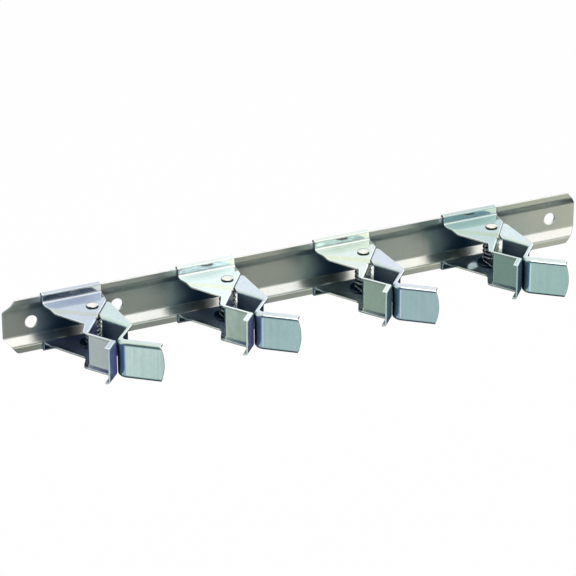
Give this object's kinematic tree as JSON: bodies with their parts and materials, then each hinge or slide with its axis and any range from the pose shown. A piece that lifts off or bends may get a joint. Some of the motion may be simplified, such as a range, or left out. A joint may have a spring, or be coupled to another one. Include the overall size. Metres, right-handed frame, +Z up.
{
  "type": "wall rail with spring clips",
  "caption": "Long folded-steel wall rail carrying sliding clips, each with a fixed jaw and a sprung jaw with a push paddle, for hanging brooms, mops and garden tools by the handle.",
  "frame": {"origin": "middle of the rail's back face, where it lies on the wall", "axes": "+X along the rail to the right as seen from the front, +Y into the wall, +Z up"},
  "size_m": [0.457, 0.1048, 0.044],
  "materials": {
    "rail_steel": "satin zinc plate",
    "clip_steel": "bright zinc plate",
    "rivet_steel": "bright zinc plate",
    "spacer_steel": "plain steel",
    "spring_steel": "drawn spring wire"
  },
  "bodies": {
    "rail": {"rail": "rail_steel"},
    "clip_1": {"clip_bracket_1": "clip_steel", "pivot_rivet_1": "rivet_steel", "pivot_spacer_1": "spacer_steel", "torsion_spring_1": "spring_steel"},
    "jaw_1": {"push_jaw_1": "clip_steel"},
    "clip_2": {"clip_bracket_2": "clip_steel", "pivot_rivet_2": "rivet_steel", "pivot_spacer_2": "spacer_steel", "torsion_spring_2": "spring_steel"},
    "jaw_2": {"push_jaw_2": "clip_steel"},
    "clip_3": {"clip_bracket_3": "clip_steel", "pivot_rivet_3": "rivet_steel", "pivot_spacer_3": "spacer_steel", "torsion_spring_3": "spring_steel"},
    "jaw_3": {"push_jaw_3": "clip_steel"},
    "clip_4": {"clip_bracket_4": "clip_steel", "pivot_rivet_4": "rivet_steel", "pivot_spacer_4": "spacer_steel", "torsion_spring_4": "spring_steel"},
    "jaw_4": {"push_jaw_4": "clip_steel"}
  },
  "joints": [
    {"name": "clip_slide_1", "type": "slide", "parent": "rail", "child": "clip_1", "axis": [1, 0, 0], "range_m": [-0.012, 0.012]},
    {"name": "jaw_swing_1", "type": "hinge", "parent": "clip_1", "child": "jaw_1", "pos_m": [-0.171, -0.0259, 0], "axis": [0, 0, 1], "range_deg": [0, 35], "stiffness_Nm_per_rad": 0.8, "springref_deg": -34.38, "deforming": ["torsion_spring_1"]},
    {"name": "clip_slide_2", "type": "slide", "parent": "rail", "child": "clip_2", "axis": [1, 0, 0], "range_m": [-0.012, 0.012]},
    {"name": "jaw_swing_2", "type": "hinge", "parent": "clip_2", "child": "jaw_2", "pos_m": [-0.0683, -0.0259, 0], "axis": [0, 0, 1], "range_deg": [0, 35], "stiffness_Nm_per_rad": 0.8, "springref_deg": -34.38, "deforming": ["torsion_spring_2"]},
    {"name": "clip_slide_3", "type": "slide", "parent": "rail", "child": "clip_3", "axis": [1, 0, 0], "range_m": [-0.012, 0.012]},
    {"name": "jaw_swing_3", "type": "hinge", "parent": "clip_3", "child": "jaw_3", "pos_m": [0.0392, -0.0259, 0], "axis": [0, 0, 1], "range_deg": [0, 35], "stiffness_Nm_per_rad": 0.8, "springref_deg": -34.38, "deforming": ["torsion_spring_3"]},
    {"name": "clip_slide_4", "type": "slide", "parent": "rail", "child": "clip_4", "axis": [1, 0, 0], "range_m": [-0.012, 0.012]},
    {"name": "jaw_swing_4", "type": "hinge", "parent": "clip_4", "child": "jaw_4", "pos_m": [0.1443, -0.0259, 0], "axis": [0, 0, 1], "range_deg": [0, 35], "stiffness_Nm_per_rad": 0.8, "springref_deg": -34.38, "deforming": ["torsion_spring_4"]}
  ]
}
